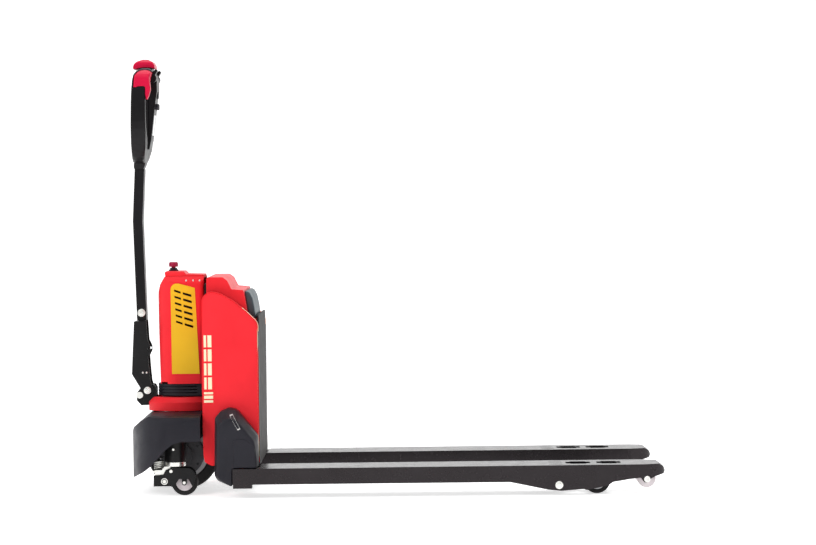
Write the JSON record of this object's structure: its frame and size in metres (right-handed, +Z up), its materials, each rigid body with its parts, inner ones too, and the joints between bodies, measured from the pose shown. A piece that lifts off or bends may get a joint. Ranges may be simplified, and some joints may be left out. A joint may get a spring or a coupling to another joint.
{
  "type": "electric pallet truck",
  "caption": "Walk-behind electric pallet truck with a tiller-steered drive wheel, sprung stabiliser casters and long forks that rise on linked load wheels.",
  "frame": {"origin": "floor level, middle of the overall length, on the centre plane", "axes": "+X towards the fork tips, +Z up, +Y across the forks; left is the -Y side, as seen facing the tiller end with the forks trailing"},
  "size_m": [1.53, 0.695, 1.2535],
  "materials": {
    "black_paint": "satin powder coat",
    "red_plastic": "gloss",
    "yellow_plastic": "semi-gloss",
    "black_plastic": "fine grain",
    "zinc": "bright zinc plate",
    "hard_chrome": "polished",
    "cast_housing": "cast",
    "cast_iron_hub": "machined",
    "tyre_black": "worn tread",
    "nylon": "semi-gloss",
    "grey_plastic": "fine grain",
    "stop_red": "gloss",
    "display_window": "gloss"
  },
  "bodies": {
    "chassis": {"chassis_bridge": "black_paint", "slewing_ring_outer": "zinc", "bumper_skirt": "black_plastic", "front_cover": "red_plastic", "cover_lid": "red_plastic", "louvre_panels": "yellow_plastic", "collar_band": "black_plastic", "pump_motor": "cast_housing", "oil_tank": "black_plastic", "lift_barrel": "black_paint", "controller": "black_plastic", "estop_base": "black_plastic", "caster_posts": "black_paint"},
    "steering": {"slewing_ring_inner": "zinc", "steer_head": "black_paint", "turret_cover": "red_plastic", "drive_fork": "black_paint", "drive_gearbox": "cast_housing", "drive_motor": "cast_housing", "stop_roller": "zinc"},
    "drive_wheel": {"drive_hub": "cast_iron_hub", "drive_tyre": "tyre_black"},
    "tiller": {"tiller_base": "black_paint", "tiller_tube": "black_paint", "tiller_bolts": "zinc", "head_loop": "black_plastic", "head_pod": "black_plastic", "head_bow": "red_plastic", "display": "display_window"},
    "throttle": {"throttle": "black_plastic"},
    "belly_button": {"belly_button": "red_plastic"},
    "horn_button": {"horn_button": "black_plastic"},
    "raise_button": {"raise_button": "black_plastic"},
    "lower_button": {"lower_button": "black_plastic"},
    "estop_button": {"estop_button": "stop_red"},
    "lift_frame": {"frame_weldment": "black_paint", "side_panels": "red_plastic", "hump_cover": "red_plastic", "battery_pack": "black_plastic", "battery_cap": "grey_plastic", "heel_covers": "black_plastic", "fork_left": "black_paint", "fork_right": "black_paint", "lift_rod": "hard_chrome", "fork_bolts": "zinc"},
    "rocker": {"lift_rocker": "black_paint"},
    "caster_swivel_left": {"caster_yoke_left": "zinc"},
    "caster_arm_left": {"caster_arm_left": "black_paint"},
    "caster_wheel_left": {"caster_wheel_left": "tyre_black"},
    "pushrod_left": {"pushrod_left": "black_paint"},
    "yoke_left": {"yoke_left": "black_paint"},
    "load_wheel_left": {"load_wheel_left": "tyre_black"},
    "entry_roller_left": {"entry_roller_left": "nylon"},
    "caster_swivel_right": {"caster_yoke_right": "zinc"},
    "caster_arm_right": {"caster_arm_right": "black_paint"},
    "caster_wheel_right": {"caster_wheel_right": "tyre_black"},
    "pushrod_right": {"pushrod_right": "black_paint"},
    "yoke_right": {"yoke_right": "black_paint"},
    "load_wheel_right": {"load_wheel_right": "tyre_black"},
    "entry_roller_right": {"entry_roller_right": "nylon"}
  },
  "joints": [
    {"name": "steer", "type": "hinge", "parent": "chassis", "child": "steering", "pos_m": [-0.618, 0, 0.2], "axis": [0, 0, 1], "range_deg": [-90, 90]},
    {"name": "drive_spin", "type": "hinge", "parent": "steering", "child": "drive_wheel", "pos_m": [-0.618, 0, 0.105], "axis": [0, 1, 0], "continuous": true},
    {"name": "tiller_tilt", "type": "hinge", "parent": "steering", "child": "tiller", "pos_m": [-0.72, 0, 0.29], "axis": [0, -1, 0], "range_deg": [0, 80], "stiffness_Nm_per_rad": 30, "springref_deg": -34.38},
    {"name": "throttle_turn", "type": "hinge", "parent": "tiller", "child": "throttle", "pos_m": [-0.691, 0, 1.197], "axis": [0, 1, 0], "range_deg": [-30, 30], "stiffness_Nm_per_rad": 0.6},
    {"name": "belly_press", "type": "slide", "parent": "tiller", "child": "belly_button", "axis": [0, 0, -1], "range_m": [0, 0.003], "stiffness_N_per_m": 2000, "springref_m": -0.003},
    {"name": "horn_press", "type": "slide", "parent": "tiller", "child": "horn_button", "axis": [-1, 0, 0], "range_m": [0, 0.002], "stiffness_N_per_m": 800, "springref_m": -0.001},
    {"name": "raise_press", "type": "slide", "parent": "tiller", "child": "raise_button", "axis": [-1, 0, 0], "range_m": [0, 0.002], "stiffness_N_per_m": 800, "springref_m": -0.001},
    {"name": "lower_press", "type": "slide", "parent": "tiller", "child": "lower_button", "axis": [-1, 0, 0], "range_m": [0, 0.002], "stiffness_N_per_m": 800, "springref_m": -0.001},
    {"name": "estop_press", "type": "slide", "parent": "chassis", "child": "estop_button", "axis": [0, 0, -1], "range_m": [0, 0.003], "stiffness_N_per_m": 1500, "springref_m": -0.002},
    {"name": "lift", "type": "slide", "parent": "chassis", "child": "lift_frame", "axis": [0, 0, 1], "range_m": [0, 0.11]},
    {"name": "rocker_turn", "type": "hinge", "parent": "lift_frame", "child": "rocker", "pos_m": [-0.405, 0, 0.08725], "axis": [0, -1, 0], "range_deg": [0, 72.05]},
    {"name": "caster_swivel_left", "type": "hinge", "parent": "chassis", "child": "caster_swivel_left", "pos_m": [-0.628, -0.205, 0.1], "axis": [0, 0, 1], "continuous": true},
    {"name": "caster_spring_left", "type": "hinge", "parent": "caster_swivel_left", "child": "caster_arm_left", "pos_m": [-0.6585, -0.205, 0.042], "axis": [0, -1, 0], "range_deg": [0, 4.5], "stiffness_Nm_per_rad": 900, "springref_deg": -2.86},
    {"name": "caster_roll_left", "type": "hinge", "parent": "caster_arm_left", "child": "caster_wheel_left", "pos_m": [-0.602, -0.205, 0.0375], "axis": [0, 1, 0], "continuous": true},
    {"name": "pushrod_left", "type": "slide", "parent": "lift_frame", "child": "pushrod_left", "axis": [1, 0, 0], "range_m": [0, 0.0424]},
    {"name": "yoke_left", "type": "hinge", "parent": "lift_frame", "child": "yoke_left", "pos_m": [0.463, -0.2625, 0.029], "axis": [0, 1, 0], "range_deg": [0, 72.05]},
    {"name": "load_roll_left", "type": "hinge", "parent": "yoke_left", "child": "load_wheel_left", "pos_m": [0.572, -0.2625, 0.038], "axis": [0, 1, 0], "continuous": true},
    {"name": "entry_roll_left", "type": "hinge", "parent": "lift_frame", "child": "entry_roller_left", "pos_m": [0.711, -0.2625, 0.043], "axis": [0, 1, 0], "continuous": true},
    {"name": "caster_swivel_right", "type": "hinge", "parent": "chassis", "child": "caster_swivel_right", "pos_m": [-0.628, 0.205, 0.1], "axis": [0, 0, 1], "continuous": true},
    {"name": "caster_spring_right", "type": "hinge", "parent": "caster_swivel_right", "child": "caster_arm_right", "pos_m": [-0.6585, 0.205, 0.042], "axis": [0, -1, 0], "range_deg": [0, 4.5], "stiffness_Nm_per_rad": 900, "springref_deg": -2.86},
    {"name": "caster_roll_right", "type": "hinge", "parent": "caster_arm_right", "child": "caster_wheel_right", "pos_m": [-0.602, 0.205, 0.0375], "axis": [0, 1, 0], "continuous": true},
    {"name": "pushrod_right", "type": "slide", "parent": "lift_frame", "child": "pushrod_right", "axis": [1, 0, 0], "range_m": [0, 0.0424]},
    {"name": "yoke_right", "type": "hinge", "parent": "lift_frame", "child": "yoke_right", "pos_m": [0.463, 0.2625, 0.029], "axis": [0, 1, 0], "range_deg": [0, 72.05]},
    {"name": "load_roll_right", "type": "hinge", "parent": "yoke_right", "child": "load_wheel_right", "pos_m": [0.572, 0.2625, 0.038], "axis": [0, 1, 0], "continuous": true},
    {"name": "entry_roll_right", "type": "hinge", "parent": "lift_frame", "child": "entry_roller_right", "pos_m": [0.711, 0.2625, 0.043], "axis": [0, 1, 0], "continuous": true}
  ],
  "couplings": [
    {"joint": "rocker_turn", "follows": "lift", "rad_per_m": 11.424},
    {"joint": "pushrod_left", "follows": "lift", "ratio": 0.38473},
    {"joint": "yoke_left", "follows": "lift", "rad_per_m": 11.424},
    {"joint": "pushrod_right", "follows": "lift", "ratio": 0.38473},
    {"joint": "yoke_right", "follows": "lift", "rad_per_m": 11.424}
  ]
}
